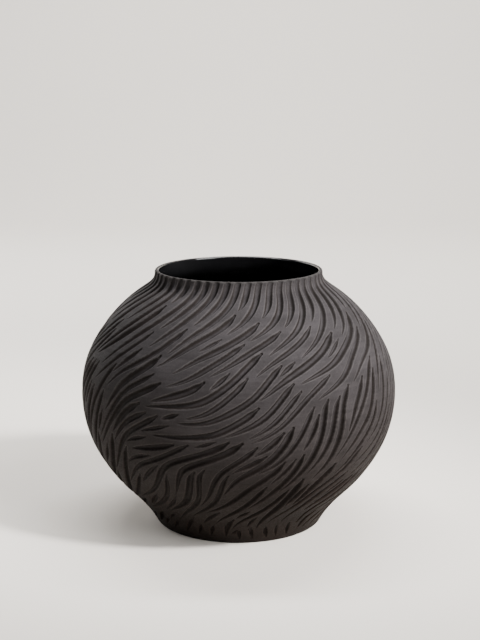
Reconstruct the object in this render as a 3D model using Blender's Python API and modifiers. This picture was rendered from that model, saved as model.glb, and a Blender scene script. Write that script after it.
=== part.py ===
"""A carved black clay pot: the turned pieces that a potter joins with slip, and the glaze inside.

Every piece is a profile turned about Z. Profiles are worked out in millimetres, as (radius, height),
and the meshes are in metres. The origin is the centre of the foot, on the ground, with +Z up.
"""

import bpy
import numpy as np

MM = 0.001

# The outside of the pot, from the foot to the start of the rounded lip: (radius, height).
OUTLINE = (
    (65.4, 0.0),
    (68.8, 6.0),
    (74.4, 14.0),
    (82.9, 24.0),
    (94.7, 36.0),
    (106.9, 52.0),
    (116.4, 70.0),
    (121.8, 90.0),
    (122.8, 108.0),
    (119.0, 130.0),
    (109.3, 150.0),
    (95.3, 168.0),
    (82.1, 180.0),
    (72.3, 187.0),
    (66.5, 192.5),
    (65.2, 196.0),
    (65.0, 198.5),
)

# Wall thickness along the outline: (height of the outside point, thickness).
WALLS = ((0.0, 6.5), (30.0, 5.5), (104.0, 5.0), (170.0, 4.5), (190.0, 3.4), (198.5, 3.0))


# The heights on the outside where one piece ends and the next begins.
FOOT_JOINT = 4.5
BELLY_JOINT = 106.0
NECK_JOINT = 183.0
LIP_JOINT = 196.0

SLIP = 0.36  # the slip between two pieces, measured along the wall
KEY_DEPTH = 1.4  # how far the tongue of one piece reaches into the groove of the other

FOOT_INNER_RADIUS = 57.5
FOOT_EDGE = 1.0  # the rounding of the foot's edges
SLAB_THICKNESS = 6.0
SLAB_LOWER_RADIUS = 59.5
SLAB_UPPER_RADIUS = 63.6

GLAZE_THICKNESS = 0.5
GLAZE_GAP = 0.32
GLAZE_TOP = 197.2  # the outside height level with the glaze's upper edge
FLOOR_CHAMFER = 5.0  # along the wall, where the hollow's floor turns up into it

SEGMENTS = 48  # flats round every turned piece
BOWL_STEP = 13.0  # between two rings of points on the bowl
NECK_STEP = 3.0  # and where the shoulder turns into the neck
NECK_START = 180.0  # the height where the turn starts
CURVE_SAMPLES = 800

CLAY = {"color": (0.052, 0.046, 0.044, 1.0), "roughness": 0.72}
LIP_CLAY = {"color": (0.085, 0.078, 0.074, 1.0), "roughness": 0.6}
GLAZE = {"color": (0.006, 0.006, 0.007, 1.0), "roughness": 0.1}


def clear_scene():
    """Removes the objects that a new file starts with."""
    for obj in list(bpy.data.objects):
        bpy.data.objects.remove(obj)


def spline_slopes(knots, values):
    """The slopes of a natural cubic spline at its knots."""
    count = len(knots)
    steps = np.diff(knots)
    secants = np.diff(values) / steps
    matrix = np.zeros((count, count))
    right = np.zeros(count)
    for i in range(1, count - 1):
        matrix[i, i - 1] = steps[i]
        matrix[i, i] = 2 * (steps[i - 1] + steps[i])
        matrix[i, i + 1] = steps[i - 1]
        right[i] = 3 * (steps[i] * secants[i - 1] + steps[i - 1] * secants[i])
    matrix[0, :2] = 2, 1
    matrix[-1, -2:] = 1, 2
    right[0] = 3 * secants[0]
    right[-1] = 3 * secants[-1]
    return np.linalg.solve(matrix, right)


def smooth_curve(knots, values, where):
    """Values of the natural cubic spline through the knots, at each of where."""
    knots, values = np.asarray(knots, float), np.asarray(values, float)
    slopes = spline_slopes(knots, values)
    index = np.clip(np.searchsorted(knots, where) - 1, 0, len(knots) - 2)
    step = knots[index + 1] - knots[index]
    t = (where - knots[index]) / step
    return (
        values[index] * (1 + 2 * t) * (1 - t) ** 2
        + slopes[index] * step * t * (1 - t) ** 2
        + values[index + 1] * t * t * (3 - 2 * t)
        + slopes[index + 1] * step * t * t * (t - 1)
    )


class Outline:
    """The outside curve of the pot, with the wall behind each of its points."""

    def __init__(self):
        chords = np.hypot(*np.diff(np.array(OUTLINE), axis=0).T)
        knots = np.concatenate([[0.0], np.cumsum(chords)])
        along = np.linspace(0.0, knots[-1], CURVE_SAMPLES)
        radii, heights = np.array(OUTLINE).T
        self.points = np.stack(
            [smooth_curve(knots, radii, along), smooth_curve(knots, heights, along)], axis=1
        )
        steps = np.hypot(*np.diff(self.points, axis=0).T)
        self.lengths = np.concatenate([[0.0], np.cumsum(steps)])
        tangents = np.gradient(self.points, self.lengths, axis=0)
        self.tangents = tangents / np.linalg.norm(tangents, axis=1, keepdims=True)

    def length_at(self, height):
        """The distance along the outline, from the foot, of its point at that height."""
        return float(np.interp(height, self.points[:, 1], self.lengths))

    def on_wall(self, length, depth, shift=0.0):
        """The point behind the outline by depth, moved by shift along the wall towards the mouth."""
        point = [np.interp(length, self.lengths, self.points[:, k]) for k in range(2)]
        along = np.array([np.interp(length, self.lengths, self.tangents[:, k]) for k in range(2)])
        along /= np.linalg.norm(along)
        outward = np.array([along[1], -along[0]])
        return np.array(point) - depth * outward + shift * along

    def wall(self, length):
        """The wall's thickness behind that point."""
        height = np.interp(length, self.lengths, self.points[:, 1])
        heights, thicknesses = zip(*WALLS)
        return float(np.interp(height, heights, thicknesses))

    def stations(self, bottom, top):
        """Both lengths, and between them the rings that every piece shares."""
        neck = self.length_at(NECK_START)
        bowl_rings = np.arange(BOWL_STEP, neck, BOWL_STEP)
        neck_rings = np.arange(neck, self.lengths[-1], NECK_STEP)
        rings = np.concatenate([bowl_rings, neck_rings])
        between = rings[(rings > bottom + NECK_STEP / 2) & (rings < top - NECK_STEP / 2)]
        return [bottom, *between, top]


def material(name, look):
    """A plain material for one kind of surface."""
    made = bpy.data.materials.new(name)
    made.use_nodes = True
    shader = made.node_tree.nodes["Principled BSDF"]
    shader.inputs["Base Color"].default_value = look["color"]
    shader.inputs["Roughness"].default_value = look["roughness"]
    shader.inputs["Metallic"].default_value = 0.0
    return made


def turned(name, profile, finish, collection):
    """One turned piece. A profile that starts and ends on the axis stays open there; any other is closed."""
    points = [(float(r) * MM, 0.0, float(z) * MM) for r, z in profile]
    edges = [(i, i + 1) for i in range(len(points) - 1)]
    on_axis = points[0][0] == 0.0 and points[-1][0] == 0.0
    if not on_axis:
        edges.append((len(points) - 1, 0))
    mesh = bpy.data.meshes.new(name)
    mesh.from_pydata(points, edges, [])
    mesh.materials.append(finish)
    obj = bpy.data.objects.new(name, mesh)
    collection.objects.link(obj)
    screw = obj.modifiers.new("Turn", "SCREW")
    screw.steps = SEGMENTS
    screw.render_steps = SEGMENTS
    screw.use_merge_vertices = True
    screw.merge_threshold = 0.00001
    screw.use_smooth_shade = True
    return obj


def outside(outline, bottom, top):
    """Points down the outline from its length top to its length bottom."""
    return [outline.on_wall(length, 0.0) for length in outline.stations(bottom, top)[::-1]]


def inside(outline, bottom, top, behind=0.0):
    """Points up the inner face of the wall, or up the face that lies further in by behind."""
    lengths = outline.stations(bottom, top)
    return [outline.on_wall(length, outline.wall(length) + behind) for length in lengths]


def key_tip(outline, length):
    """The lowest point of the V across the wall where two pieces meet at that length."""
    return outline.on_wall(length, outline.wall(length) / 2, -KEY_DEPTH)


def hollow_line(outline, top):
    """The line of the hollow's clay, from the middle of the floor and up the wall."""
    floor = FOOT_JOINT + SLIP + SLAB_THICKNESS
    wall_start = outline.length_at(floor) + FLOOR_CHAMFER
    return [
        (0.0, floor),
        (SLAB_UPPER_RADIUS / 2, floor),
        (SLAB_UPPER_RADIUS + SLIP, floor),
        *inside(outline, wall_start, top),
    ]


def beside(line, distance):
    """The line moved to its left by distance, with its corners mitred."""
    points = np.array(line)
    steps = np.diff(points, axis=0)
    steps /= np.linalg.norm(steps, axis=1, keepdims=True)
    normals = np.stack([-steps[:, 1], steps[:, 0]], axis=1)
    before = np.concatenate([normals[:1], normals])
    after = np.concatenate([normals, normals[-1:]])
    corner = before + after
    corner *= 2 / (corner * corner).sum(axis=1, keepdims=True)
    return points + distance * corner


def foot_ring(outline, clay, collection):
    """The ring that the pot stands on."""
    top = outline.length_at(FOOT_JOINT)
    outer_top, outer_foot = outline.on_wall(top, 0.0), outline.on_wall(0.0, 0.0)
    profile = [
        *outside(outline, FOOT_EDGE, top),
        (outer_foot[0] - FOOT_EDGE * 0.1, FOOT_EDGE * 0.35),
        (outer_foot[0] - FOOT_EDGE * 0.8, 0.0),
        (FOOT_INNER_RADIUS + FOOT_EDGE, 0.0),
        (FOOT_INNER_RADIUS + FOOT_EDGE * 0.3, FOOT_EDGE * 0.3),
        (FOOT_INNER_RADIUS, FOOT_EDGE),
        (FOOT_INNER_RADIUS, outer_top[1]),
    ]
    return turned("foot_ring", profile, clay, collection)


def base_slab(clay, collection):
    """The floor of the pot, a disc seated in the bottom of the lower bowl."""
    bottom = FOOT_JOINT + SLIP
    top = bottom + SLAB_THICKNESS
    profile = [
        (0.0, top),
        (SLAB_UPPER_RADIUS / 2, top),
        (SLAB_UPPER_RADIUS, top),
        (SLAB_LOWER_RADIUS, bottom),
        (SLAB_LOWER_RADIUS / 2, bottom),
        (0.0, bottom),
    ]
    return turned("base_slab", profile, clay, collection)


def lower_bowl(outline, clay, collection):
    """The wall from the foot to the belly, open below for the slab and grooved at its top edge."""
    bottom = FOOT_JOINT + SLIP
    belly = outline.length_at(BELLY_JOINT) - SLIP / 2
    slab_seat = hollow_line(outline, belly)[2:]
    profile = [
        *outside(outline, outline.length_at(bottom), belly),
        (SLAB_LOWER_RADIUS + SLIP, bottom),
        *slab_seat,
        key_tip(outline, belly),
    ]
    return turned("lower_bowl", profile, clay, collection)


def upper_bowl(outline, clay, collection):
    """The wall from the belly to the neck, with a tongue below and a groove above."""
    belly = outline.length_at(BELLY_JOINT) + SLIP / 2
    neck = outline.length_at(NECK_JOINT) - SLIP / 2
    profile = [
        *outside(outline, belly, neck),
        key_tip(outline, belly),
        *inside(outline, belly, neck),
        key_tip(outline, neck),
    ]
    return turned("upper_bowl", profile, clay, collection)


def neck_collar(outline, clay, collection):
    """The short hollow-sided neck, with a tongue below."""
    neck = outline.length_at(NECK_JOINT) + SLIP / 2
    lip = outline.length_at(LIP_JOINT) - SLIP / 2
    profile = [
        *outside(outline, neck, lip),
        key_tip(outline, neck),
        *inside(outline, neck, lip),
    ]
    return turned("neck_collar", profile, clay, collection)


def lip_coil(outline, clay, collection):
    """The plain rounded lip round the mouth."""
    bottom = outline.length_at(LIP_JOINT) + SLIP / 2
    top = outline.lengths[-1]
    radius = outline.wall(top) / 2  # the lip is a half round over the whole wall
    angles = np.radians(np.linspace(180, 0, 7))
    profile = [
        *(outline.on_wall(top, radius - radius * np.cos(a), radius * np.sin(a)) for a in angles),
        outline.on_wall(bottom, 0.0),
        outline.on_wall(bottom, outline.wall(bottom)),
    ]
    return turned("lip_coil", profile, clay, collection)


def glaze_lining(outline, glaze, collection):
    """The poured glaze: one thin coat over the floor and up the inside to just under the lip."""
    clay = hollow_line(outline, outline.length_at(GLAZE_TOP))
    clay_side = beside(clay, GLAZE_GAP)
    open_side = beside(clay, GLAZE_GAP + GLAZE_THICKNESS)
    return turned("glaze_lining", [*open_side, *clay_side[::-1]], glaze, collection)


def main():
    """Builds the pot."""
    clear_scene()
    collection = bpy.data.collections.new("black_clay_pot")
    bpy.context.scene.collection.children.link(collection)
    clay = material("black_clay", CLAY)
    lip_clay = material("lip_clay", LIP_CLAY)
    glaze = material("black_glaze", GLAZE)
    outline = Outline()
    foot_ring(outline, clay, collection)
    base_slab(clay, collection)
    lower_bowl(outline, clay, collection)
    upper_bowl(outline, clay, collection)
    neck_collar(outline, clay, collection)
    lip_coil(outline, lip_clay, collection)
    glaze_lining(outline, glaze, collection)


if __name__ == "__main__":
    main()
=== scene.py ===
"""A carved black clay pot: its looks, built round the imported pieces.

Sizes in the classes are in millimetres and meshes are in metres. A place on the wall is given by
its azimuth, in degrees from the front and positive to the right, and by its arc, the distance up the
outline from the foot. The front is -Y.
"""

from __future__ import annotations

import logging
import math
from collections.abc import Callable
from dataclasses import dataclass, field
from enum import Enum

import bpy
import numpy as np
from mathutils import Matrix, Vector


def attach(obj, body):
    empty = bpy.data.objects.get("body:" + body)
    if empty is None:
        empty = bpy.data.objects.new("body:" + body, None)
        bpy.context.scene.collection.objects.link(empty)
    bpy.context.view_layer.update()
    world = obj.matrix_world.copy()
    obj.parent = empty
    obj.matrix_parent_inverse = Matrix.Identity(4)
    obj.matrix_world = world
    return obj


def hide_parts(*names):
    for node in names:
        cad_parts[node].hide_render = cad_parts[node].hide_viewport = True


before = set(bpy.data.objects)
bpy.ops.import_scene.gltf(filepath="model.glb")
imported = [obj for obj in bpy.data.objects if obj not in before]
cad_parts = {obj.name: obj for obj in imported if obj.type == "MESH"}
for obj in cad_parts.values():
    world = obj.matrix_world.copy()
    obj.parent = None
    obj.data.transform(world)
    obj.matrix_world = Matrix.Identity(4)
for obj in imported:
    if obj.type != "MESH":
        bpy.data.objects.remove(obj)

MM = 0.001
BODY = "root"
Array = np.ndarray
Numbers = np.ndarray | float
Range = tuple[float, float]
Colour = tuple[float, float, float]
Socket = bpy.types.NodeSocket
Thing = bpy.types.Object
WHITE: Colour = (1.0, 1.0, 1.0)
log = logging.getLogger("clay_pot")


class Slot(Enum):
    """The record's material slots."""

    CLAY = "black_clay"
    LIP = "lip_clay"
    GLAZE = "black_glaze"


# --- the turned shape -------------------------------------------------------------------------


@dataclass
class Outline:
    """The outside curve of the pot, and the wall behind it.

    Attributes:
        knots: (radius, height) of the curve's points, from the foot to the start of the round lip.
        walls: (height, thickness) of the wall behind the curve.
        samples: how many points the smooth curve is worked out at.
    """

    knots: tuple[Range, ...] = (
        (65.4, 0.0), (68.8, 6.0), (74.4, 14.0), (82.9, 24.0), (94.7, 36.0), (106.9, 52.0),
        (116.4, 70.0), (121.8, 90.0), (122.8, 108.0), (119.0, 130.0), (109.3, 150.0), (95.3, 168.0),
        (82.1, 180.0), (72.3, 187.0), (66.5, 192.5), (65.2, 196.0), (65.0, 198.5),
    )
    walls: tuple[Range, ...] = (
        (0.0, 6.5), (30.0, 5.5), (104.0, 5.0), (170.0, 4.5), (190.0, 3.4), (198.5, 3.0),
    )
    samples: int = 1200
    points: Array = field(init=False)
    arcs: Array = field(init=False)
    normals: Array = field(init=False)

    def __post_init__(self) -> None:
        """Works out the smooth curve, its arcs and its outward normals."""
        knots = np.array(self.knots)
        chords = np.concatenate([[0.0], np.cumsum(np.hypot(*np.diff(knots, axis=0).T))])
        along = np.linspace(0.0, chords[-1], self.samples)
        self.points = np.stack([natural_spline(chords, column, along) for column in knots.T], axis=1)
        steps = np.hypot(*np.diff(self.points, axis=0).T)
        self.arcs = np.concatenate([[0.0], np.cumsum(steps)])
        tangents = np.gradient(self.points, self.arcs, axis=0)
        tangents /= np.linalg.norm(tangents, axis=1, keepdims=True)
        self.normals = np.stack([tangents[:, 1], -tangents[:, 0]], axis=1)

    @property
    def length(self) -> float:
        """The arc of the outline's last point."""
        return float(self.arcs[-1])

    def arc_at(self, height: float) -> float:
        """The arc of the outline's point at that height."""
        return float(np.interp(height, self.points[:, 1], self.arcs))

    def radius(self, arcs: Numbers) -> Numbers:
        """The outside radius at those arcs."""
        return np.interp(arcs, self.arcs, self.points[:, 0])

    def height(self, arcs: Numbers) -> Numbers:
        """The height of the outline's points at those arcs."""
        return np.interp(arcs, self.arcs, self.points[:, 1])

    def normal(self, arcs: Array) -> Array:
        """The outward unit normals, as (radial, up), at those arcs."""
        found = np.stack([np.interp(arcs, self.arcs, self.normals[:, k]) for k in range(2)], axis=-1)
        return found / np.linalg.norm(found, axis=-1, keepdims=True)

    def thickness(self, arcs: Numbers) -> Numbers:
        """The wall's thickness behind those arcs."""
        heights, thicknesses = zip(*self.walls)
        return np.interp(self.height(arcs), heights, thicknesses)

    def behind(self, arcs: Numbers, depth: Numbers) -> Array:
        """The (radius, height) of the points that lie behind the outline by depth.

        Args:
            arcs: the arcs of the points.
            depth: how far behind the outline they lie.

        Returns:
            The points, one in each row.
        """
        arcs = np.asarray(arcs, float)
        surface = np.stack([self.radius(arcs), self.height(arcs)], axis=-1)
        return surface - np.asarray(depth, float)[..., None] * self.normal(arcs)

    def locate(self, radii: Array, heights: Array) -> tuple[Array, Array]:
        """Finds where points lie on the outline.

        Args:
            radii: the points' distances from the axis.
            heights: the points' heights.

        Returns:
            The arc that each point lies behind, and how far behind the outline it lies.
        """
        arcs = np.interp(heights, self.points[:, 1], self.arcs)
        for _ in range(6):
            surface = np.stack([self.radius(arcs), self.height(arcs)], axis=-1)
            normal = self.normal(arcs)
            offset = np.stack([radii, heights], axis=-1) - surface
            along = offset[:, 1] * normal[:, 0] - offset[:, 0] * normal[:, 1]
            arcs = np.clip(arcs + along, 0.0, self.length)
        return arcs, -(offset * normal).sum(axis=1)


def natural_spline(knots: Array, values: Array, where: Array) -> Array:
    """The natural cubic spline through the knots.

    Args:
        knots: increasing places.
        values: the value at each place.
        where: the places to work the curve out at.

    Returns:
        The curve's values there.
    """
    count = len(knots)
    steps = np.diff(knots)
    secants = np.diff(values) / steps
    matrix = np.zeros((count, count))
    right = np.zeros(count)
    for i in range(1, count - 1):
        matrix[i, i - 1 : i + 2] = steps[i], 2 * (steps[i - 1] + steps[i]), steps[i - 1]
        right[i] = 3 * (steps[i] * secants[i - 1] + steps[i - 1] * secants[i])
    matrix[0, :2] = 2, 1
    matrix[-1, -2:] = 1, 2
    right[0] = 3 * secants[0]
    right[-1] = 3 * secants[-1]
    slopes = np.linalg.solve(matrix, right)
    index = np.clip(np.searchsorted(knots, where) - 1, 0, count - 2)
    step = steps[index]
    t = (where - knots[index]) / step
    return (
        values[index] * (1 + 2 * t) * (1 - t) ** 2
        + slopes[index] * step * t * (1 - t) ** 2
        + values[index + 1] * t * t * (3 - 2 * t)
        + slopes[index + 1] * step * t * t * (t - 1)
    )


# --- the carving ------------------------------------------------------------------------------


@dataclass(frozen=True)
class Comb:
    """The way that the cuts flow over the wall, as a potter would pencil it on before cutting.

    Attributes:
        guides: (azimuth, height, heading) of the pencilled strokes on one half of the pot. The
            heading is the angle that a cut climbs at towards the right. The other half repeats them.
        rings: (height, heading) of guides that go all the way round.
        ring_step: the angle between two guides of a ring.
        reach: how far one guide is felt.
        half_turn: the angle from one half to the other.
        faintest: the least weight of a guide, which keeps places far from all of them defined.
    """

    guides: tuple[tuple[float, float, float], ...] = (
        # the sweep over the shoulder
        (-70, 172, 60), (-35, 170, 45), (-10, 172, 36), (15, 170, 35), (40, 172, 42),
        (70, 172, 52), (-65, 158, 50), (-50, 165, 50), (-45, 150, 42), (-25, 155, 50),
        (-8, 160, 30), (8, 162, 20), (25, 158, 34), (55, 155, 30), (80, 158, 52),
        # the left side, falling
        (-62, 142, 40), (-78, 125, 55), (-54, 125, 66), (-48, 108, 62), (-64, 92, 70),
        (-50, 85, 64), (-60, 60, 45), (-80, 75, 60),
        # the front, sweeping across
        (-35, 128, 28), (-20, 118, 20), (-35, 100, 18), (-20, 95, 14), (-34, 78, 4),
        (-14, 78, 16), (-5, 130, 46), (6, 148, 56), (0, 112, 30), (12, 98, 40),
        (5, 74, 24),
        # the right side, standing up
        (22, 136, 33), (16, 122, 56), (24, 90, 66), (35, 132, 28), (36, 106, 88),
        (38, 84, 72), (48, 130, 58), (60, 112, 80), (72, 125, 64), (50, 88, 46),
        (68, 90, 58), (18, 62, 56), (40, 62, 42), (70, 60, 46),
        # under the belly
        (-42, 55, 48), (-28, 62, 80), (-18, 58, 84), (-8, 56, 72), (8, 48, 50),
        (26, 42, 66), (50, 40, 40), (-35, 30, 48), (-14, 38, 38), (4, 32, 38),
        (20, 26, 80), (-60, 30, 36), (60, 25, 55), (-40, 15, 46), (-22, 9, 66),
        (-11, 9, 88), (-1, 9, 104), (9, 9, 114), (18, 11, 110), (-12, 24, 48),
        (0, 25, 46), (12, 25, 64),
    )
    rings: tuple[Range, ...] = ((198.0, 86.0), (191.0, 74.0), (182.0, 58.0))
    ring_step: float = 12.0
    reach: float = 13.0
    half_turn: float = 180.0
    faintest: float = 1e-9

    def headings(self, outline: Outline, azimuths: Array, arcs: Array) -> Array:
        """The flow's heading over a grid of the wall.

        Args:
            outline: the pot's outline.
            azimuths: the grid's columns.
            arcs: the grid's rows.

        Returns:
            The headings in radians, one for each row and column.
        """
        halves = (0.0, self.half_turn)
        placed = [(a + turn, h, heading) for a, h, heading in self.guides for turn in halves]
        around = np.arange(0.0, 360.0, self.ring_step)
        placed += [(a, h, heading) for h, heading in self.rings for a in around]
        across = np.zeros((len(arcs), len(azimuths)))
        upward = np.zeros_like(across)
        radii = np.radians(1.0) * outline.radius(arcs)[:, None]
        for azimuth, height, heading in placed:
            turn = (azimuths[None, :] - azimuth + 180.0) % 360.0 - 180.0
            climb = arcs[:, None] - outline.arc_at(height)
            weight = np.exp(-((turn * radii) ** 2 + climb**2) / (2 * self.reach**2)) + self.faintest
            across += weight * math.cos(2 * math.radians(heading))
            upward += weight * math.sin(2 * math.radians(heading))
        return np.arctan2(upward, across) / 2


@dataclass(frozen=True)
class Cut:
    """One stroke of the gouge.

    Attributes:
        azimuths, arcs: its line from head to tip, with the azimuths in radians.
        weight: how heavy it is beside a full one.
        closed_head: whether it narrows at its upper end, which a flute under the lip doesn't.
    """

    azimuths: Array
    arcs: Array
    weight: float
    closed_head: bool


@dataclass(frozen=True)
class Gouge:
    """The U gouge that the cuts are made with.

    Attributes:
        half_width: half the width of a full cut.
        depth: the depth of a full cut at its middle.
        roundness: how full the U is; 2 is an arc, and more has a flatter floor.
        head: how far from its upper end a cut reaches its full width.
        head_share: the most of a cut's length that this takes up.
        blunt: the share of its full width that a closed cut starts with.
        tail: the share of a cut's length over which it runs out to a point.
        taper: the power that it runs out with; less than 1 keeps it wide for longer.
    """

    half_width: float = 2.5
    depth: float = 2.75
    roundness: float = 2.3
    head: float = 9.0
    head_share: float = 0.35
    blunt: float = 0.42
    tail: float = 0.45
    taper: float = 0.6

    def sizes(self, from_head: Array, length: float, cut: Cut) -> tuple[Array, Array]:
        """The cut's half width and depth along its length.

        Args:
            from_head: distances from the cut's upper end.
            length: the cut's whole length.
            cut: the cut.

        Returns:
            The half widths and the depths at those distances.
        """
        opening = 1.0
        if cut.closed_head:
            opening = smooth_step(from_head / min(self.head, self.head_share * length))
        to_tip = np.clip((length - from_head) / (self.tail * length), 0.0, 1.0)
        share = cut.weight * (self.blunt + (1 - self.blunt) * opening) * to_tip**self.taper
        return self.half_width * share, self.depth * share


def smooth_step(t: Array) -> Array:
    """An even rise from 0 to 1 as t goes from 0 to 1."""
    t = np.clip(t, 0.0, 1.0)
    return t * t * (3 - 2 * t)


def read_between(grid: Array, row: Numbers, column: Numbers) -> Numbers:
    """Reads a grid of the wall between its points. Its columns go all the way round, and meet.

    Args:
        grid: the values, in rows up the wall and columns round it.
        row: the row to read at, with its fraction.
        column: the column to read at, with its fraction.

    Returns:
        The value there, or the values.
    """
    r0, c0 = np.floor(row).astype(int), np.floor(column).astype(int)
    r0 = np.minimum(r0, len(grid) - 2)
    u, v = column - c0, row - r0
    c0 = c0 % grid.shape[1]
    c1 = (c0 + 1) % grid.shape[1]
    low = grid[r0, c0] * (1 - u) + grid[r0, c1] * u
    high = grid[r0 + 1, c0] * (1 - u) + grid[r0 + 1, c1] * u
    return low * (1 - v) + high * v


@dataclass
class Carver:
    """Plans the cuts one beside another, as a carver does, so that they fill the wall evenly.

    Attributes:
        outline: the pot's outline.
        comb: the way that the cuts flow.
        flutes: how many cuts start under the lip.
        flute_weight: how heavy those are beside a full cut.
        commas: how many short cuts stand in the row at the foot.
        spacing: from the middle of one cut to the middle of the next.
        clear: how near another cut a line may come going up and going down, in spacings.
        weights: how heavy the longest cuts are beside a full one, from and to.
        light: the share of its weight that a cut has before its length adds the rest.
        full_length: the length that would add a whole weight.
        rounds: the shortest cuts made in each round of the wall, the long ones first.
        longest: the length that no cut goes beyond.
        step: the distance between the points of a cut's line.
        hook: how far a cut turns up from the flow towards its head, in radians for each millimetre.
        foot_margin: the plain band at the foot.
        lip_margin: how far under the lip any other cut stays.
        seed: what the carver's small choices start from.
    """

    outline: Outline
    comb: Comb
    flutes: int = 52
    flute_weight: float = 1.05
    commas: int = 46
    spacing: float = 7.1
    clear: Range = (0.66, 0.44)
    weights: Range = (0.8, 1.25)
    light: float = 0.45
    full_length: float = 75.0
    rounds: tuple[float, ...] = (64.0, 44.0, 28.0, 20.0)
    longest: float = 150.0
    step: float = 1.0
    hook: float = 0.004
    foot_margin: float = 5.5
    lip_margin: float = 9.0
    seed: int = 11
    cuts: list[Cut] = field(default_factory=list)

    def __post_init__(self) -> None:
        """Works out the flow on a coarse grid and empties the list of points already taken."""
        self.chance = np.random.default_rng(self.seed)
        self.grid_step = 2.0
        self.grid_arcs = np.linspace(0.0, self.outline.length, 121)
        columns = np.arange(0.0, 360.0, self.grid_step)
        self.flow = self.comb.headings(self.outline, columns, self.grid_arcs)
        self.taken = np.empty((0, 2))

    def heading(self, azimuth: float, arc: float) -> float:
        """The flow's heading at one place, in radians, read between the grid's points.

        Args:
            azimuth: the place's azimuth, in radians.
            arc: the place's arc.

        Returns:
            The heading.
        """
        column = (math.degrees(azimuth) % 360.0) / self.grid_step
        row = arc / self.outline.length * (len(self.grid_arcs) - 1)
        return float(read_between(self.flow, row, column))

    def room(self, azimuth: float, arc: float) -> float:
        """The distance from a place to the nearest line already taken.

        Args:
            azimuth: the place's azimuth, in radians.
            arc: the place's arc.

        Returns:
            The distance, which is infinite before the first cut.
        """
        if not len(self.taken):
            return math.inf
        turn = (self.taken[:, 0] - azimuth + math.pi) % (2 * math.pi) - math.pi
        across = turn * self.outline.radius(arc)
        return float(np.sqrt((across**2 + (self.taken[:, 1] - arc) ** 2).min()))

    def walk(
        self, azimuth: float, arc: float, way: int, length: float, clear: float, hook: float
    ) -> list[tuple[float, float]]:
        """Follows the flow from a place until it gets near another cut, or to a margin.

        Args:
            azimuth: where to start, in radians.
            arc: where to start.
            way: 1 to climb and -1 to go down.
            length: how far to go at most.
            clear: how near another cut's middle the line may come.
            hook: how far the line turns from the flow for each millimetre, in radians.

        Returns:
            The places passed, without the first.
        """
        places = []
        for stride in range(int(length / self.step)):
            heading = self.heading(azimuth, arc) + way * hook * stride * self.step
            azimuth += way * self.step * math.cos(heading) / float(self.outline.radius(arc))
            arc += way * self.step * math.sin(heading)
            if not self.foot_margin < arc < self.outline.length or self.room(azimuth, arc) < clear:
                break
            places.append((azimuth, arc))
        return places

    def try_cut(
        self,
        azimuth: float,
        arc: float,
        up: float,
        down: float,
        shortest: float,
        closed_head: bool = True,
    ) -> bool:
        """Makes a cut through a place if there is room for one that is long enough.

        Args:
            azimuth: a place on the cut, in radians.
            arc: a place on the cut.
            up: how far it may go up from there.
            down: how far it may go down from there.
            shortest: the length below which it isn't made.
            closed_head: whether it narrows at its upper end.

        Returns:
            Whether it was made.
        """
        hook = self.hook if closed_head else 0.0
        climb = self.walk(azimuth, arc, 1, up, self.clear[0] * self.spacing, hook)
        fall = self.walk(azimuth, arc, -1, down, self.clear[1] * self.spacing, hook)
        places = np.array(climb[::-1] + [(azimuth, arc)] + fall)
        length = len(places) * self.step
        if length < shortest:
            return False
        weight = float(self.chance.uniform(*self.weights))
        weight *= min(1.0, self.light + length / self.full_length)
        if not closed_head:
            weight = self.flute_weight
        self.cuts.append(Cut(places[:, 0], places[:, 1], weight, closed_head))
        self.taken = np.concatenate([self.taken, places])
        return True

    def along_ring(self, index: int, count: int, uneven: float) -> float:
        """The azimuth of one of a count of cuts that stand nearly evenly round the pot."""
        return 2 * math.pi * (index + self.chance.uniform(-uneven, uneven)) / count

    def cut_flutes(self) -> None:
        """The cuts that start side by side under the lip, some short and some that sweep on down."""
        top, shortest = self.outline.length - 0.1, 8.0
        for index in range(self.flutes):
            azimuth = self.along_ring(index, self.flutes, 0.1)
            low, high = (20.0, 60.0) if index % 2 else (45.0, 115.0)
            self.try_cut(azimuth, top, 0.0, self.chance.uniform(low, high), shortest, False)

    def cut_commas(self) -> None:
        """A row of short curled cuts just above the plain band at the foot."""
        middle, shortest = 14.0, 10.0
        for index in range(self.commas):
            azimuth = self.along_ring(index, self.commas, 0.15)
            up, down = self.chance.uniform(8.0, 20.0), self.chance.uniform(6.0, 9.0)
            self.try_cut(azimuth, middle, up, down, shortest)

    def cut_beside(self, shortest: float) -> None:
        """Works outwards from each cut to the next one beside it until the wall is full.

        Args:
            shortest: the length below which a cut isn't made this time round.
        """
        first, last, stride = 3, 2, 7
        for cut in self.cuts:
            for place in range(first, len(cut.arcs) - last, stride):
                azimuth, arc = float(cut.azimuths[place]), float(cut.arcs[place])
                for side in (-1, 1):
                    self.cut_one_beside(azimuth, arc, side, shortest)

    def cut_one_beside(self, azimuth: float, arc: float, side: int, shortest: float) -> None:
        """Tries a cut to one side of a place on another cut.

        Args:
            azimuth: the place's azimuth, in radians.
            arc: the place's arc.
            side: 1 for the left of the flow and -1 for the right.
            shortest: the length below which the cut isn't made.
        """
        nearest, loosest, usual = 0.95, 1.12, 30.0
        away = self.spacing * self.chance.uniform(1.0, loosest)
        heading = self.heading(azimuth, arc) + side * math.pi / 2
        start = azimuth + away * math.cos(heading) / float(self.outline.radius(arc))
        height = arc + away * math.sin(heading)
        if not self.foot_margin < height < self.outline.length - self.lip_margin:
            return
        if self.room(start, height) < nearest * self.spacing:
            return
        length = self.chance.triangular(shortest, shortest + usual, self.longest)
        share = self.chance.uniform(0.25, 0.75)
        self.try_cut(start, height, share * length, (1 - share) * length, shortest)

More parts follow.
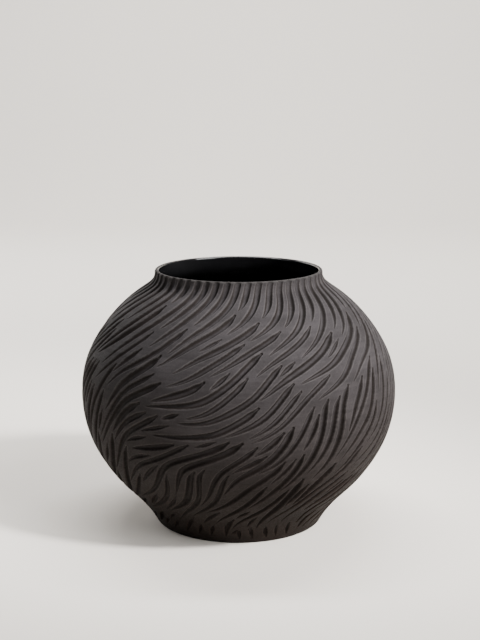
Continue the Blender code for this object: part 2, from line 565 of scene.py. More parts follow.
    def fill_gaps(self, tries: int = 6000) -> None:
        """Looks for any bare place that was missed, and makes a short cut there.

        Args:
            tries: how many places to look at.
        """
        low, high = self.foot_margin + 2.0, self.outline.length - 12.0
        room, shortest = 0.8 * self.spacing, 13.0
        for _ in range(tries):
            azimuth = self.chance.uniform(0.0, 2 * math.pi)
            arc = self.chance.uniform(low, high)
            if self.room(azimuth, arc) > room:
                half = self.chance.uniform(24.0, 60.0) / 2
                self.try_cut(azimuth, arc, half, half, shortest)

    def plan(self) -> list[Cut]:
        """Plans the whole pot.

        Returns:
            The cuts, in the order they are made.
        """
        self.cut_flutes()
        self.cut_commas()
        for shortest in self.rounds:
            self.cut_beside(shortest)
        self.fill_gaps()
        return self.cuts


@dataclass
class Relief:
    """How deep the wall is cut at every place, on a fine grid of azimuth and arc.

    Attributes:
        outline: the pot's outline.
        gouge: the tool that the cuts are made with.
        columns: places round the pot.
        pitch: the distance between two rows.
        press_step: the distance between two places where the gouge is pressed in.
        softness: how far the arrises are rubbed down.
        soft_reach: how many places away that is felt.
        lip_ease: the share of a flute's depth that it loses as it runs out over the lip.
        lip_reach: how far under the lip that starts.
    """

    outline: Outline
    gouge: Gouge
    columns: int = 3600
    pitch: float = 0.25
    press_step: float = 0.4
    softness: float = 0.15
    soft_reach: int = 4
    lip_ease: float = 0.55
    lip_reach: float = 20.0

    def __post_init__(self) -> None:
        """Starts with an uncut wall."""
        self.turn = 2 * math.pi / self.columns
        self.rows = int(self.outline.length / self.pitch) + 2
        self.radii = self.outline.radius(np.arange(self.rows) * self.pitch)
        self.depth = np.zeros((self.rows, self.columns), np.float32)

    def carve(self, cuts: list[Cut]) -> None:
        """Makes the cuts, and then rubs the arrises down a little.

        Args:
            cuts: the cuts, in the order they are made.
        """
        for cut in cuts:
            self.make(cut)
        self.soften()
        self.slope_up, self.slope_round = self.slopes()

    def make(self, cut: Cut) -> None:
        """Draws the gouge along one cut's line in steps shorter than the grid's features.

        Args:
            cut: the cut.
        """
        radii = self.outline.radius(cut.arcs)
        lengths = np.hypot(np.diff(cut.azimuths) * radii[1:], np.diff(cut.arcs))
        along = np.concatenate([[0.0], np.cumsum(lengths)])
        stops = np.arange(0.0, along[-1], self.press_step)
        widths, depths = self.gouge.sizes(stops, float(along[-1]), cut)
        azimuths = np.interp(stops, along, cut.azimuths)
        arcs = np.interp(stops, along, cut.arcs)
        near_lip = smooth_step((arcs - self.outline.length + self.lip_reach) / self.lip_reach)
        depths = depths * (1 - self.lip_ease * near_lip)
        for azimuth, arc, width, depth in zip(azimuths, arcs, widths, depths):
            if width > self.pitch:
                self.press(float(azimuth), float(arc), float(width), float(depth))

    def press(self, azimuth: float, arc: float, width: float, depth: float) -> None:
        """Sinks the round of the gouge at one place, keeping whatever is already deeper.

        Args:
            azimuth: the place's azimuth, in radians.
            arc: the place's arc.
            width: half the cut's width there.
            depth: how deep its middle is there.
        """
        radius = float(self.outline.radius(arc))
        low = max(int((arc - width) / self.pitch), 0)
        high = min(int((arc + width) / self.pitch) + 2, self.rows)
        span = int(width / radius / self.turn) + 2
        middle = int(round(azimuth / self.turn))
        columns = np.arange(middle - span, middle + span + 1)
        across = (columns * self.turn - azimuth) * radius
        climb = np.arange(low, high) * self.pitch - arc
        away = np.sqrt(across[None, :] ** 2 + climb[:, None] ** 2) / width
        sunk = depth * (1 - np.minimum(away, 1.0) ** self.gouge.roundness)
        here = np.ix_(np.arange(low, high), columns % self.columns)
        self.depth[here] = np.maximum(self.depth[here], sunk)

    def soften(self) -> None:
        """Blurs the grid by the softness, by the same true distance at every radius."""
        offsets = np.arange(-self.soft_reach, self.soft_reach + 1)
        kernel = np.exp(-((offsets * self.pitch / self.softness) ** 2) / 2)
        kernel /= kernel.sum()
        padded = np.pad(self.depth, ((self.soft_reach, self.soft_reach), (0, 0)), mode="edge")
        self.depth = sum(k * padded[i : i + self.rows] for i, k in enumerate(kernel))
        apart = offsets[None, :] * self.turn * self.radii[:, None]
        weights = np.exp(-((apart / self.softness) ** 2) / 2)
        weights /= weights.sum(axis=1, keepdims=True)
        blurred = sum(
            weights[:, i : i + 1] * np.roll(self.depth, -offset, axis=1)
            for i, offset in enumerate(offsets)
        )
        self.depth = blurred.astype(np.float32)

    def slopes(self) -> tuple[Array, Array]:
        """How the depth changes with the distance up the wall, and with the distance round it.

        Returns:
            The two grids of slopes.
        """
        up = np.gradient(self.depth, self.pitch, axis=0)
        around = (np.roll(self.depth, -1, axis=1) - np.roll(self.depth, 1, axis=1)) / (2 * self.turn)
        return up, around / self.radii[:, None]

    def read(self, grid: Array, azimuths: Array, arcs: Array) -> Array:
        """Reads one of the grids between its points.

        Args:
            grid: the depth or one of the slopes.
            azimuths: where to read, in radians.
            arcs: where to read.

        Returns:
            The values there.
        """
        column = (azimuths / (2 * math.pi) % 1.0) * self.columns
        row = np.clip(arcs / self.pitch, 0, self.rows - 1.001)
        return read_between(grid, row, column)


# --- finishes ---------------------------------------------------------------------------------


class Nodes:
    """A short way to write one material's node tree."""

    def __init__(self, name: str) -> None:
        """Starts a material with a Principled shader.

        Args:
            name: the material's name.
        """
        self.material = bpy.data.materials.new(name)
        self.material.use_nodes = True
        self.tree = self.material.node_tree
        self.shader = self.tree.nodes["Principled BSDF"]
        self.place = self.add("ShaderNodeTexCoord").outputs["Object"]

    def add(self, kind: str, **values: object) -> bpy.types.Node:
        """Adds a node, setting the properties that are named.

        Args:
            kind: the node's type.
            **values: its properties, by name.

        Returns:
            The node.
        """
        node = self.tree.nodes.new(kind)
        for name, value in values.items():
            setattr(node, name, value)
        return node

    def feed(self, target: Socket, value: Socket | Colour | float) -> None:
        """Joins a socket to another, or sets it to a colour or a number.

        Args:
            target: the socket to fill.
            value: what it gets.
        """
        if isinstance(value, Socket):
            self.tree.links.new(value, target)
        else:
            target.default_value = (*value, 1.0) if isinstance(value, tuple) else value

    def fill(self, node: bpy.types.Node, **values: Socket | float) -> None:
        """Feeds the inputs that are named.

        Args:
            node: the node.
            **values: what its inputs get, by name.
        """
        for name, value in values.items():
            self.feed(node.inputs[name], value)

    def noise(
        self, scale: float, detail: float = 3.0, roughness: float = 0.5, place: Socket | None = None
    ) -> Socket:
        """Solid noise.

        Args:
            scale: how many features it has to the metre.
            detail, roughness: how fine and how harsh it is.
            place: where it is read, if not on the object's own coordinates.

        Returns:
            The noise, from 0 to 1.
        """
        node = self.add("ShaderNodeTexNoise")
        self.fill(node, Scale=scale, Detail=detail, Roughness=roughness, Vector=place or self.place)
        return node.outputs["Fac"]

    def rings(self, scale: float) -> Socket:
        """Noise drawn out sideways, like the fine lines that turning leaves.

        Args:
            scale: how many lines it has to the metre.

        Returns:
            The noise, from 0 to 1.
        """
        flatten = self.add("ShaderNodeMapping", vector_type="POINT")
        flatten.inputs["Scale"].default_value = (0.02, 0.02, 1.0)
        self.feed(flatten.inputs["Vector"], self.place)
        return self.noise(scale, 2.0, place=flatten.outputs["Vector"])

    def height(self) -> Socket:
        """The height of a place, in metres.

        Returns:
            The height.
        """
        node = self.add("ShaderNodeSeparateXYZ")
        self.feed(node.inputs[0], self.place)
        return node.outputs["Z"]

    def attribute(self, name: str) -> Socket:
        """A number kept on the mesh's points."""
        return self.add("ShaderNodeAttribute", attribute_name=name).outputs["Fac"]

    def spread(
        self, source: Socket, start: float, end: float, low: float = 0.0, high: float = 1.0
    ) -> Socket:
        """Maps start..end to low..high, smoothly and no further.

        Args:
            source: the number to map.
            start, end: where it starts and stops having an effect.
            low, high: what it becomes there.

        Returns:
            The mapped number.
        """
        node = self.add("ShaderNodeMapRange", interpolation_type="SMOOTHSTEP")
        for index, value in enumerate((source, start, end, low, high)):
            self.feed(node.inputs[index], value)
        return node.outputs["Result"]

    def sum(self, a: Socket, b: Socket) -> Socket:
        """The sum of two numbers.

        Args:
            a, b: the numbers.

        Returns:
            Their sum.
        """
        node = self.add("ShaderNodeMath", operation="ADD")
        self.feed(node.inputs[0], a)
        self.feed(node.inputs[1], b)
        return node.outputs[0]

    def blend(
        self,
        amount: Socket | float,
        first: Socket | Colour,
        second: Socket | Colour,
        how: str = "MIX",
    ) -> Socket:
        """A colour between two others, or the first multiplied by some of the second.

        Args:
            amount: how much of the second there is.
            first, second: the colours.
            how: how they are blended.

        Returns:
            The colour.
        """
        node = self.add("ShaderNodeMix", data_type="RGBA", blend_type=how)
        self.feed(node.inputs["Factor"], amount)
        self.feed(node.inputs[6], first)
        self.feed(node.inputs[7], second)
        return node.outputs[2]

    def bump(self, source: Socket, distance: float, strength: float) -> None:
        """Raises the surface by a number, through any bump that is already there.

        Args:
            source: the number.
            distance: how high a whole one stands, in metres.
            strength: how much of that shows.
        """
        node = self.add("ShaderNodeBump")
        self.fill(node, Height=source, Distance=distance, Strength=strength)
        if self.shader.inputs["Normal"].is_linked:
            self.feed(node.inputs["Normal"], self.shader.inputs["Normal"].links[0].from_socket)
        self.feed(self.shader.inputs["Normal"], node.outputs["Normal"])


@dataclass(frozen=True)
class MatteClay:
    """Fired black clay, sanded smooth and left bare: a dark, faintly brown, fine-grained surface.

    Attributes:
        land, patch: the uncut surface, and its darker patches.
        wall: the painted shade on the walls of the cuts.
        arris: the painted highlight on the proud edges.
        painted_foot_shade: what the colour is multiplied by at the foot, a painted shade tinted brown
            like a warm bounce.
        foot_shade_heights: the heights in metres between which that painted shade fades away.
        grain: the darkest and the palest that the grain makes the colour.
    """

    land: Colour = (0.0322, 0.029, 0.0302)
    patch: Colour = (0.0245, 0.0219, 0.0225)
    wall: Colour = (0.0138, 0.0112, 0.0104)
    arris: Colour = (0.047, 0.043, 0.0435)
    painted_foot_shade: Colour = (0.27, 0.195, 0.145)
    foot_shade_heights: Range = (0.01, 0.165)
    grain: Range = (0.72, 1.3)
    roughness: float = 0.74
    specular: float = 0.1

    def colour(self, nodes: Nodes) -> Socket:
        """The clay's colour: painted shade on the cuts' walls and towards the foot, and a painted
        highlight on the arrises.

        Args:
            nodes: the node tree that it is written in.

        Returns:
            The colour.
        """
        patches = nodes.spread(nodes.noise(38.0, 4.0, 0.6), 0.38, 0.64)
        flat = nodes.blend(patches, self.patch, self.land)
        # painted shade: the steep walls of the cuts are darkened towards the wall colour
        cut = nodes.blend(nodes.spread(nodes.attribute("steep"), 0.1, 0.72), flat, self.wall)
        # painted highlight: the proud edges are paled towards the arris colour
        edges = nodes.spread(nodes.attribute("arris"), 0.1, 1.0, 0.0, 0.75)
        rubbed_and_highlit = nodes.blend(edges, cut, self.arris)
        grains = nodes.spread(nodes.sum(nodes.noise(900.0, 3.0, 0.7), nodes.rings(420.0)), 0.7, 1.3)
        speckles = nodes.blend(grains, (self.grain[0],) * 3, (self.grain[1],) * 3)
        speckled = nodes.blend(0.55, rubbed_and_highlit, speckles, "MULTIPLY")
        # painted shade: the colour is darker and browner towards the foot, standing in for the shade
        # and warm bounce under the belly
        rise = nodes.spread(nodes.height(), *self.foot_shade_heights)
        return nodes.blend(1.0, speckled, nodes.blend(rise, self.painted_foot_shade, WHITE), "MULTIPLY")

    def material(self) -> bpy.types.Material:
        """Makes the material.

        Returns:
            The material.
        """
        nodes = Nodes("matte_black_clay")
        nodes.feed(nodes.shader.inputs["Base Color"], self.colour(nodes))
        self.finish(nodes)
        return nodes.material

    def finish(self, nodes: Nodes) -> None:
        """Gives a clay shader its roughness and the tooth of the fired grain.

        Args:
            nodes: the node tree that it is written in.
        """
        smooth, rough = self.roughness - 0.06, self.roughness + 0.1
        patches = nodes.spread(nodes.noise(700.0, 3.0, 0.6), 0.3, 0.7, smooth, rough)
        nodes.feed(nodes.shader.inputs["Roughness"], patches)
        nodes.shader.inputs["Specular IOR Level"].default_value = self.specular
        nodes.bump(nodes.noise(900.0, 4.0, 0.65), 0.00035, 0.6)
        nodes.bump(nodes.noise(190.0, 3.0, 0.5), 0.0005, 0.25)
        nodes.bump(nodes.rings(900.0), 0.00018, 0.35)


@dataclass(frozen=True)
class RubbedLip:
    """The lip: the same clay, rubbed pale along its crown."""

    clay: MatteClay
    edge: Colour = (0.038, 0.035, 0.0345)

    def material(self) -> bpy.types.Material:
        """Makes the material.

        Returns:
            The material.
        """
        nodes = Nodes("rubbed_lip_clay")
        dull = tuple(0.75 * c for c in self.edge)
        bare = nodes.blend(nodes.noise(420.0, 3.0, 0.6), dull, self.edge)
        colour = nodes.blend(nodes.attribute("rubbed_and_highlit"), self.clay.colour(nodes), bare)
        nodes.feed(nodes.shader.inputs["Base Color"], colour)
        self.clay.finish(nodes)
        return nodes.material


@dataclass(frozen=True)
class PouredGlaze:
    """Gloss black glaze, a little uneven where it ran."""

    colour: Colour = (0.0035, 0.0035, 0.0038)
    roughness: float = 0.08

    def material(self) -> bpy.types.Material:
        """Makes the material.

        Returns:
            The material.
        """
        nodes = Nodes("poured_black_glaze")
        tint = nodes.spread(nodes.noise(30.0, 3.0), 0.3, 0.7)
        thick = tuple(1.8 * c for c in self.colour)
        nodes.feed(nodes.shader.inputs["Base Color"], nodes.blend(tint, self.colour, thick))
        smooth, rough = self.roughness * 0.7, self.roughness * 1.5
        runs = nodes.spread(nodes.noise(60.0, 2.0), 0.3, 0.7, smooth, rough)
        nodes.feed(nodes.shader.inputs["Roughness"], runs)
        nodes.bump(nodes.noise(45.0, 2.0), 0.0009, 0.35)
        return nodes.material


# --- pieces -----------------------------------------------------------------------------------


class Turner:
    """Makes turned meshes from a section, which is a loop of (radius, height) points.

    A section runs up the outside and down the inside, so that the faces point outwards.
    """

    @staticmethod
    def ring(name: str, section: Array, columns: int) -> Thing:
        """Turns a closed section that stays clear of the axis.

        Args:
            name: the new object's name.
            section: the section's (radius, height) points in millimetres, in order.
            columns: how many times the section stands round the pot, starting from the front.

        Returns:
            The turned object.
        """
        bpy.ops.object.select_all(action="DESELECT")
        bpy.ops.mesh.primitive_grid_add(x_subdivisions=columns, y_subdivisions=len(section), size=0.2)
        obj = bpy.context.active_object
        obj.name = obj.data.name = name
        loop = np.concatenate([section, section[:1]])
        turn = 2 * math.pi * (np.arange(columns + 1) % columns) / columns
        radii, heights = loop[:, :1], np.repeat(loop[:, 1:], columns + 1, axis=1)
        write_points(obj, round_the_axis(radii, turn, heights).reshape(-1, 3))
        bpy.ops.object.mode_set(mode="EDIT")
        Turner.weld()
        return obj

    @staticmethod
    def spin(name: str, section: Array, steps: int) -> Thing:
        """Spins a section whose first and last points lie on the axis.

        Args:
            name: the new object's name.
            section: the section's (radius, height) points in millimetres, in order.
            steps: how many times the section stands round the pot.

        Returns:
            The turned object, with its faces pointing outwards.
        """
        bpy.ops.object.select_all(action="DESELECT")
        bpy.ops.mesh.primitive_circle_add(vertices=len(section), radius=MM, fill_type="NOTHING")
        obj = bpy.context.active_object
        obj.name = obj.data.name = name
        write_points(obj, round_the_axis(section[:, 0], np.zeros(len(section)), section[:, 1]))
        ends = {0, len(section) - 1}
        pick_edges(obj, lambda edge: set(edge.vertices) == ends)
        bpy.ops.mesh.delete(type="EDGE")
        bpy.ops.mesh.select_all(action="SELECT")
        middle, upright = (0.0, 0.0, 0.0), (0.0, 0.0, 1.0)
        bpy.ops.mesh.spin(steps=steps, angle=2 * math.pi, center=middle, axis=upright)
        Turner.weld(outwards=True)
        return obj

    @staticmethod
    def weld(outwards: bool = False) -> None:
        """Leaves edit mode with the turned mesh's ends joined, and its faces turned out if asked.

        Args:
            outwards: whether its faces still have to be turned out.
        """
        bpy.ops.mesh.select_all(action="SELECT")
        bpy.ops.mesh.remove_doubles(threshold=1e-6)
        if outwards:
            bpy.ops.mesh.normals_make_consistent(inside=False)
        bpy.ops.object.mode_set(mode="OBJECT")
        bpy.ops.object.shade_smooth()


def round_the_axis(radii: Array, azimuths: Array, heights: Array) -> Array:
    """The (x, y, z) of places given by distance from the axis, azimuth in radians and height."""
    return np.stack([radii * np.sin(azimuths), -radii * np.cos(azimuths), heights], axis=-1)


def pick_edges(obj: Thing, wanted: Callable[[bpy.types.MeshEdge], bool]) -> None:
    """Selects the edges that are wanted, and no others, and stays in edit mode.

    Args:
        obj: the object.
        wanted: says whether an edge is wanted.
    """
    bpy.ops.object.mode_set(mode="EDIT")
    bpy.ops.mesh.select_mode(type="EDGE")
    bpy.ops.mesh.select_all(action="DESELECT")
    bpy.ops.object.mode_set(mode="OBJECT")
    for edge in obj.data.edges:
        edge.select = wanted(edge)
    bpy.ops.object.mode_set(mode="EDIT")


def read_points(obj: Thing) -> Array:
    """The object's points in millimetres, one row for each.

    Args:
        obj: the object.

    Returns:
        Their places.
    """
    points = np.empty(len(obj.data.vertices) * 3)
    obj.data.vertices.foreach_get("co", points)
    return points.reshape(-1, 3) / MM


def write_points(obj: Thing, points: Array) -> None:
    """Moves the object's points to places in millimetres."""
    obj.data.vertices.foreach_set("co", (points * MM).ravel())
    obj.data.update()


def keep_number(obj: Thing, name: str, values: Array) -> None:
    """Keeps one number on each of the object's points, for its finish to read."""
    attribute = obj.data.attributes.new(name, "FLOAT", "POINT")
    attribute.data.foreach_set("value", values.astype(np.float32))


def hand_over(obj: Thing, finish: bpy.types.Material, node: str) -> None:
    """Gives a finished piece its material, hides the CAD node that it stands for and joins it to the
    body.

    Args:
        obj: the piece.
        finish: its material.
        node: the CAD node.
    """
    obj.data.materials.clear()
    obj.data.materials.append(finish)
    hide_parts(node)
    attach(obj, BODY)
    log.info("%s: %d faces", obj.name, len(obj.data.polygons))


@dataclass
class WallPiece:
    """One carved length of the wall, from one joint or parting to the next.

    Attributes:
        name: the piece's name.
        node: the CAD node that it stands for, or stands for a part of.
        start, end: the arcs on the outside where it starts and ends.
        pitch: the distance between two rows of the carved side.
        inner_step: the distance between two rows of the inner side.
    """

    name: str
    node: str
    start: float
    end: float
    pitch: float
    inner_step: float = 14.0

    def section(self, outline: Outline) -> Array:
        """The wall's section: up the outside, and down the inside.

        Args:
            outline: the pot's outline.

        Returns:
            The section's (radius, height) points.
        """
        outside = np.linspace(self.start, self.end, int((self.end - self.start) / self.pitch) + 1)
        inner_rows = max(int((self.end - self.start) / self.inner_step), 2) + 1
        inside = np.linspace(self.end, self.start, inner_rows)
        inner = outline.behind(inside, outline.thickness(inside))
        return np.concatenate([outline.behind(outside, 0.0 * outside), inner])

    def build(self, outline: Outline, relief: Relief, columns: int) -> Thing:
        """Turns the piece, carves its outside and keeps what its finish needs.

        Args:
            outline: the pot's outline.
            relief: how deep the wall is cut.
            columns: places round the pot.

        Returns:
            The carved piece.
        """
        obj = Turner.ring(self.name, self.section(outline), columns)
        carve_outside(obj, outline, relief)
        return obj


def carve_outside(obj: Thing, outline: Outline, relief: Relief) -> None:
    """Sinks the points on the outside of a turned piece by the relief, and sets their true normals.

    Args:
        obj: the turned piece, still plain.
        outline: the pot's outline.
        relief: how deep the wall is cut.
    """
    tolerance, fade, steepest = 0.02, 1.2, 1.7
    points = read_points(obj)
    radii = np.hypot(points[:, 0], points[:, 1])
    azimuths = np.arctan2(points[:, 0], -points[:, 1])
    arcs, behind = outline.locate(radii, points[:, 2])
    outside = np.abs(behind) < tolerance
    over = (arcs > outline.length - 0.01) & ~outside
    share = np.where(over, np.clip(1 - behind / fade, 0.0, 1.0) ** 2, outside)
    depth = share * relief.read(relief.depth, azimuths, arcs)
    normal = outline.normal(arcs)
    radii = radii - depth * normal[:, 0]
    heights = points[:, 2] - depth * normal[:, 1]
    write_points(obj, round_the_axis(radii, azimuths, heights))
    up = relief.read(relief.slope_up, azimuths, arcs)
    around = relief.read(relief.slope_round, azimuths, arcs)
    radial = normal[:, 0] - up * normal[:, 1]
    upward = normal[:, 1] + up * normal[:, 0]
    true = round_the_axis(radial, azimuths, upward)
    true[:, 0] += around * np.cos(azimuths)
    true[:, 1] += around * np.sin(azimuths)
    true /= np.linalg.norm(true, axis=1, keepdims=True)
    plain = np.array([v.normal[:] for v in obj.data.vertices])
    normals = np.where(outside[:, None], true, plain)
    obj.data.normals_split_custom_set_from_vertices(normals.tolist())
    # steep and arris are the masks for the clay's painted shade on the cuts' walls and its painted
    # highlight on the proud edges
    steep = np.clip(np.hypot(up, around) / steepest, 0.0, 1.0)
    keep_number(obj, "steep", np.where(outside, steep, 0.0))
    keep_number(obj, "arris", np.where(outside, arris_strength(relief, azimuths, arcs, depth), 0.0))


def arris_strength(relief: Relief, azimuths: Array, arcs: Array, depth: Array) -> Array:
    """How much each place is on a proud edge: the ground beside it lies deeper than it does.

    Args:
        relief: how deep the wall is cut.
        azimuths: the places' azimuths, in radians.
        arcs: the places' arcs.
        depth: how deep each place itself is cut.

    Returns:
        0 for a place that isn't on an edge, to 1 for a full arris.
    """
    reach, proudest = 0.9, 0.22
    turn = reach / relief.outline.radius(arcs)
    sides = ((turn, 0.0), (-turn, 0.0), (0.0, reach), (0.0, -reach))
    beside = sum(relief.read(relief.depth, azimuths + right, arcs + up) for right, up in sides)
    return np.clip((beside / 4 - depth) / proudest, 0.0, 1.0)


@dataclass
class FootRing:
    """The plain ring that the pot stands on.

    Attributes:
        top: the height of its flat top, where the bowl is luted on.
        inner_radius: its inside.
        edge: the radius of its two lower edges.
        flare: how far the outer edge's round stands out, and the share of its radius that it keeps.
    """

    top: float = 4.5
    inner_radius: float = 57.5
    edge: float = 1.0
    flare: Range = (0.2, 0.9)

    def build(self, outline: Outline, columns: int) -> Thing:
        """Turns the ring with rounded edges.

        Args:
            outline: the pot's outline.
            columns: places round the pot.

        Returns:
            The ring.
        """
        arcs = np.linspace(outline.arc_at(self.top), self.edge, 6)
        foot = outline.behind(0.0, 0.0)
        turn = np.radians(np.linspace(0, 90, 5))[1:]
        outer_radii = foot[0] - self.edge + self.flare[0] + self.edge * np.cos(turn) * self.flare[1]
        outer = np.stack([outer_radii, self.edge * (1 - np.sin(turn))], axis=1)
        inner_radii = self.inner_radius + self.edge * (1 - np.sin(turn))
        inner = np.stack([inner_radii, self.edge * (1 - np.cos(turn))], axis=1)
        top = [(self.inner_radius, self.top), ((self.inner_radius + foot[0]) / 2, self.top)]
        section = np.concatenate([outline.behind(arcs, 0.0 * arcs), outer, inner, top])
        return Turner.ring("foot_ring_turned", section[::-1], columns)


@dataclass
class LipCoil:
    """The last coil: fluted like the neck, and rounded over at the top.

    Attributes:
        bottom: the height of its joint on the outside.
        rows, round_rows: rows of points up the outside and over the round.
        rubbed_up: the height where the rubbing starts, and how far on it is full.
        rubbed_in: how far inside the crown it reaches, and how far from there it is full.
    """

    bottom: float = 196.0
    rows: int = 8
    round_rows: int = 14
    rubbed_up: Range = (198.3, 0.9)
    rubbed_in: Range = (0.5, 0.3)

    def build(self, outline: Outline, relief: Relief, columns: int) -> Thing:
        """Turns the lip, carves its outside and marks where it is rubbed pale.

        Args:
            outline: the pot's outline.
            relief: how deep the wall is cut.
            columns: places round the pot.

        Returns:
            The lip.
        """
        low, high = outline.arc_at(self.bottom), outline.length
        outside = np.linspace(low, high, self.rows)
        inside = np.linspace(high, low, 4)
        section = np.concatenate(
            [
                outline.behind(outside, 0.0 * outside),
                lip_round(outline, 0.0, np.linspace(0, 180, self.round_rows)[1:-1]),
                outline.behind(inside, outline.thickness(inside)),
            ]
        )
        obj = Turner.ring("lip_coil_turned", section, columns)
        carve_outside(obj, outline, relief)
        points = read_points(obj)
        crown = float(lip_round(outline, 0.0, np.array([90.0]))[0, 0])
        out = np.hypot(points[:, 0], points[:, 1]) - crown
        high_up = smooth_step((points[:, 2] - self.rubbed_up[0]) / self.rubbed_up[1])
        far_out = smooth_step((out + self.rubbed_in[0]) / self.rubbed_in[1])
        keep_number(obj, "rubbed_and_highlit", high_up * far_out)
        return obj


def lip_round(outline: Outline, proud: Numbers, turns: Array) -> Array:
    """Points over the lip's round, from 0 degrees on the outside to 180 on the inside.

    Args:
        outline: the pot's outline.
        proud: how far the points stand off the clay.
        turns: the angles, in degrees.

    Returns:
        The points' (radius, height).
    """
    radius = float(outline.thickness(outline.length)) / 2
    middle = outline.behind(outline.length, radius)
    normal = outline.normal(np.array([outline.length]))[0]
    along = np.array([-normal[1], normal[0]])
    turn = np.radians(turns)[:, None]
    reach = radius + np.broadcast_to(proud, len(turns))[:, None]
    return middle + reach * (np.cos(turn) * normal + np.sin(turn) * along)


@dataclass
class GlazeLining:
    """The poured glaze over the floor, up the inside of the wall and over the inner half of the lip.

    Attributes:
        floor: the height of the floor under it.
        corner_radius: where the floor starts to turn up into the wall.
        chamfer: how far up the wall that turn reaches.
        gap: how far the coat stands off the clay.
        thickness: how thick the coat is.
        feather: the angle over the lip at which the coat runs out.
        thinning: how far under the lip the coat starts to thin.
        lip_share: how much of it is left at the lip.
        columns: places round the pot.
    """

    floor: float = 10.86
    corner_radius: float = 63.96
    chamfer: float = 5.0
    gap: float = 0.3
    thickness: float = 0.4
    feather: float = 128.0
    thinning: float = 14.0
    lip_share: float = 0.2
    columns: int = 360

    def line(self, outline: Outline, away: float) -> Array:
        """The coat's line from the middle of the floor to where it runs out, moved off by away.

        Args:
            outline: the pot's outline.
            away: how far off the clay's surface the line lies.

        Returns:
            The line's (radius, height) points.
        """
        start = outline.arc_at(self.floor) + self.chamfer
        arcs = np.linspace(start, outline.length, 90)
        near_lip = smooth_step((arcs - outline.length + self.thinning) / self.thinning)
        thin = 1 - (1 - self.lip_share) * near_lip
        wall = outline.behind(arcs, outline.thickness(arcs) + away * thin)
        turn = np.linspace(0.0, 1.0, 7)[1:-1, None]
        corner = np.array([self.corner_radius - 2.0, self.floor + away])
        elbow = np.array([self.corner_radius + 1.5, self.floor + away + 1.0])
        curve = (1 - turn) ** 2 * corner + 2 * turn * (1 - turn) * elbow + turn**2 * wall[0]
        floor = [(0.0, self.floor + away), (20.0, self.floor + away), (42.0, self.floor + away)]
        turns = np.linspace(180.0, self.feather, 14)[1:]
        share = self.lip_share * smooth_step((turns - self.feather + 4.0) / 30.0)
        over = lip_round(outline, 0.02 + away * share, turns)
        return np.concatenate([floor, [corner], curve, wall, over])

    def build(self, outline: Outline) -> Thing:
        """Turns the lining as one thin closed coat.

        Args:
            outline: the pot's outline.

        Returns:
            The lining.
        """
        open_side = self.line(outline, self.gap + self.thickness)
        clay_side = self.line(outline, self.gap)[::-1]
        section = np.concatenate([open_side, clay_side])
        return Turner.spin("glaze_lining_poured", section, self.columns)


@dataclass
class BaseSlab:
    """The floor's disc, with its tapered edge in the lower bowl's seat."""

    bottom: float = 4.86
    top: float = 10.86
    lower_radius: float = 59.5
    upper_radius: float = 63.6
    ease: float = 0.6

    def build(self, columns: int) -> Thing:
        """Turns the disc with eased edges.

        Args:
            columns: places round the pot.

        Returns:
            The disc.
        """
        section = np.array(
            [
                (0.0, self.top),
                (self.upper_radius / 2, self.top),
                (self.upper_radius - self.ease, self.top),
                (self.upper_radius, self.top - self.ease),
                (self.lower_radius, self.bottom + self.ease),
                (self.lower_radius - self.ease, self.bottom),
                (self.lower_radius / 2, self.bottom),
                (0.0, self.bottom),
            ]
        )
        return Turner.spin("base_slab_turned", section, columns)


@dataclass
class Pot:
    """The whole pot: its shape, its carving and its finishes."""

    columns: int = 1080
    joints: tuple[float, float, float, float] = (4.5, 106.0, 183.0, 196.0)

    def build(self) -> None:
        """Builds every piece and dresses it."""
        outline = Outline()
        cuts = Carver(outline, Comb()).plan()
        log.info("the carver planned %d cuts", len(cuts))
        relief = Relief(outline, Gouge())
        relief.carve(cuts)
        clay = MatteClay()
        clay_finish = clay.material()
        foot, belly, neck, lip = (outline.arc_at(height) for height in self.joints)
        lower_half, upper_half = (foot + belly) / 2, (belly + neck) / 2
        for wall in (
            WallPiece("lower_bowl_foot_side", "lower_bowl", foot, lower_half, 0.7),
            WallPiece("lower_bowl_belly_side", "lower_bowl", lower_half, belly, 0.7),
            WallPiece("upper_bowl_belly_side", "upper_bowl", belly, upper_half, 0.62),
            WallPiece("upper_bowl_neck_side", "upper_bowl", upper_half, neck, 0.62),
            WallPiece("neck_collar_fluted", "neck_collar", neck, lip, 0.5, 3.0),
        ):
            hand_over(wall.build(outline, relief, self.columns), clay_finish, wall.node)
        hand_over(FootRing().build(outline, self.columns), clay_finish, "foot_ring")
        hand_over(BaseSlab().build(256), clay_finish, "base_slab")
        lip_coil = LipCoil().build(outline, relief, self.columns)
        hand_over(lip_coil, RubbedLip(clay).material(), "lip_coil")
        hand_over(GlazeLining().build(outline), PouredGlaze().material(), "glaze_lining")


# --- the stage --------------------------------------------------------------------------------


@dataclass(frozen=True)
class Lamp:
    """One soft lamp.

    Attributes:
        name: the lamp's name.
        place: where it stands, in metres.
        target: what it points at.
        power: its power in watts.
        size: a panel's width and height, or a shaded lamp's radius and full cone in degrees.
        shaded: whether a shade keeps its light to a cone.
        colour: its light's colour.
    """

    name: str
    place: tuple[float, float, float]
    target: tuple[float, float, float]
    power: float
    size: tuple[float, float]
    shaded: bool = False
    colour: Colour = WHITE

    def light(self) -> None:
        """Sets the lamp up."""
        lamp = bpy.data.lights.new(self.name, "SPOT" if self.shaded else "AREA")
        if self.shaded:
            lamp.shadow_soft_size = self.size[0]
            lamp.spot_size = math.radians(self.size[1])
            lamp.spot_blend = 1.0
        else:
            lamp.shape = "RECTANGLE"
            lamp.size, lamp.size_y = self.size
        lamp.energy = self.power
        lamp.color = self.colour
        obj = bpy.data.objects.new(self.name, lamp)
        bpy.context.scene.collection.objects.link(obj)
        obj.location = self.place
        obj.visible_glossy = not self.shaded
        aim = Vector(self.target) - Vector(self.place)
        obj.rotation_euler = aim.to_track_quat("-Z", "Y").to_euler()


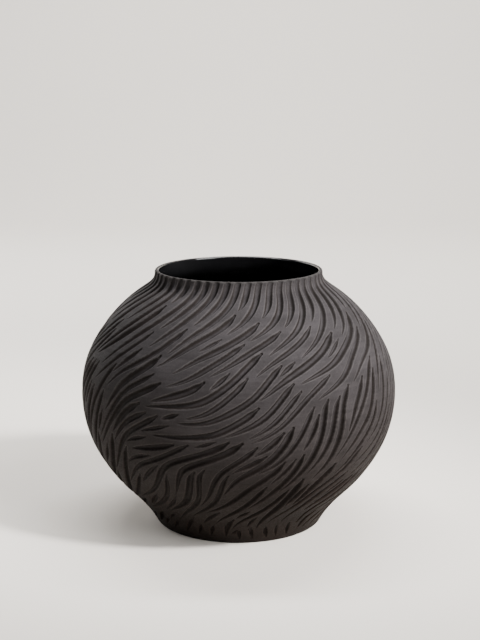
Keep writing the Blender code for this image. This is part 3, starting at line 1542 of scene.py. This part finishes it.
@dataclass
class Studio:
    """The floor, the backdrop, the lamps and the camera."""

    warm: Colour = (1.0, 0.985, 0.975)
    floor_colour: Colour = (0.74, 0.695, 0.635)
    world_colour: Colour = (0.95, 0.97, 1.0)
    world_strength: float = 0.08
    camera_place: tuple[float, float, float] = (0.00107, -0.977, 0.356)
    camera_pitch: float = 11.4
    lens: float = 71.7

    def build(self) -> None:
        """Sets up everything round the pot."""
        self.lay_floor()
        self.light_world()
        for lamp in (
            Lamp("key", (1.3, -0.9, 1.40), (0.03, 0.0, 0.135), 470.0, (0.13, 22.0), True, self.warm),
            Lamp("window", (1.15, -0.9, 0.85), (0.0, 0.0, 0.15), 42.0, (0.9, 1.7)),
            Lamp("bounce", (-1.3, -0.5, 0.9), (0.0, 0.0, 0.17), 4.0, (1.0, 1.2)),
            Lamp("side", (-1.2, 1.0, 0.9), (0.0, 0.0, 0.12), 14.0, (1.2, 1.2)),
            Lamp("backdrop", (0.0, 0.7, 2.2), (0.0, 2.4, 0.6), 150.0, (2.0, 0.8)),
        ):
            lamp.light()
        self.set_camera()

    def lay_floor(self) -> None:
        """A pale sheet that runs back from the camera and curves up into a wall."""
        bpy.ops.object.select_all(action="DESELECT")
        bpy.ops.mesh.primitive_plane_add(size=6.0, location=(0.0, 0.0, 0.0))
        floor = bpy.context.active_object
        floor.name = "floor"
        places = floor.data.vertices
        pick_edges(floor, lambda edge: all(places[i].co.y > 0 for i in edge.vertices))
        bpy.ops.mesh.extrude_region_move(TRANSFORM_OT_translate={"value": (0.0, 0.0, 3.0)})
        bpy.ops.object.mode_set(mode="OBJECT")
        corners = {v.index for v in floor.data.vertices if v.co.y > 0 and abs(v.co.z) < 1e-6}
        pick_edges(floor, lambda edge: set(edge.vertices) == corners)
        bpy.ops.mesh.bevel(offset=1.2, offset_pct=0, segments=24, affect="EDGES")
        bpy.ops.object.mode_set(mode="OBJECT")
        bpy.ops.object.shade_smooth()
        nodes = Nodes("pale_floor")
        nodes.shader.inputs["Base Color"].default_value = (*self.floor_colour, 1.0)
        nodes.shader.inputs["Roughness"].default_value = 0.85
        floor.data.materials.append(nodes.material)

    def light_world(self) -> None:
        """Fills the room with an even, soft light."""
        world = bpy.data.worlds.new("room")
        world.use_nodes = True
        background = world.node_tree.nodes["Background"]
        background.inputs["Color"].default_value = (*self.world_colour, 1.0)
        background.inputs["Strength"].default_value = self.world_strength
        bpy.context.scene.world = world

    def set_camera(self) -> None:
        """Stands the camera in front of the pot, looking a little down on it."""
        camera = bpy.data.cameras.new("camera")
        camera.lens = self.lens
        obj = bpy.data.objects.new("camera", camera)
        bpy.context.scene.collection.objects.link(obj)
        obj.location = self.camera_place
        obj.rotation_euler = (math.radians(90.0 - self.camera_pitch), 0.0, 0.0)
        bpy.context.scene.camera = obj


def main() -> None:
    logging.basicConfig(level=logging.INFO, format="%(name)s: %(message)s")
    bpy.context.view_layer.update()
    Studio().build()
    Pot().build()


if __name__ == "__main__":
    main()
